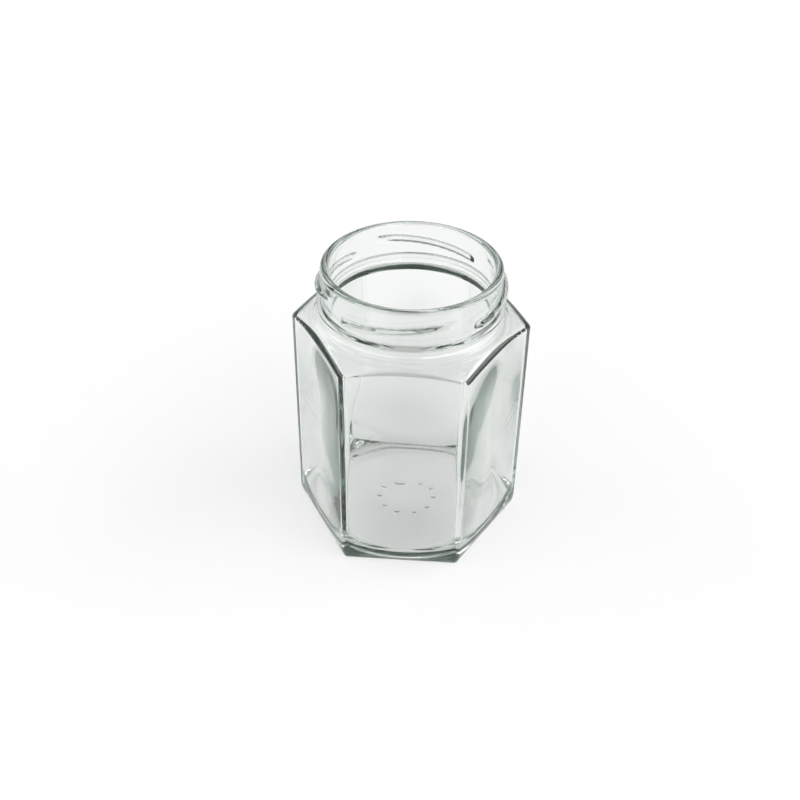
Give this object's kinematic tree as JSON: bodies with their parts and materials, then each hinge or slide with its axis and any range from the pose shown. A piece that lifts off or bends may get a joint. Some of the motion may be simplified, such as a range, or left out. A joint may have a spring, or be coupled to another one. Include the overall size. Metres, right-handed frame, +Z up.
{
  "type": "hexagonal glass jar",
  "caption": "Open hexagonal clear glass food jar with flat panels, a sloping shoulder and a round neck with sloping twist-off thread lugs, for preserves, honey or spices.",
  "frame": {"origin": "on the jar's axis, at the level of the bearing ring that it stands on", "axes": "+Z up the jar's axis towards the mouth, -Y square out of one of the flat panels, +X towards a corner between two panels"},
  "size_m": [0.0754, 0.0658, 0.0955],
  "materials": {
    "glass": "clear, fire-polished, with a faint green cast where the glass is thick"
  },
  "bodies": {
    "root": {"hex_jar": "glass"}
  },
  "joints": []
}
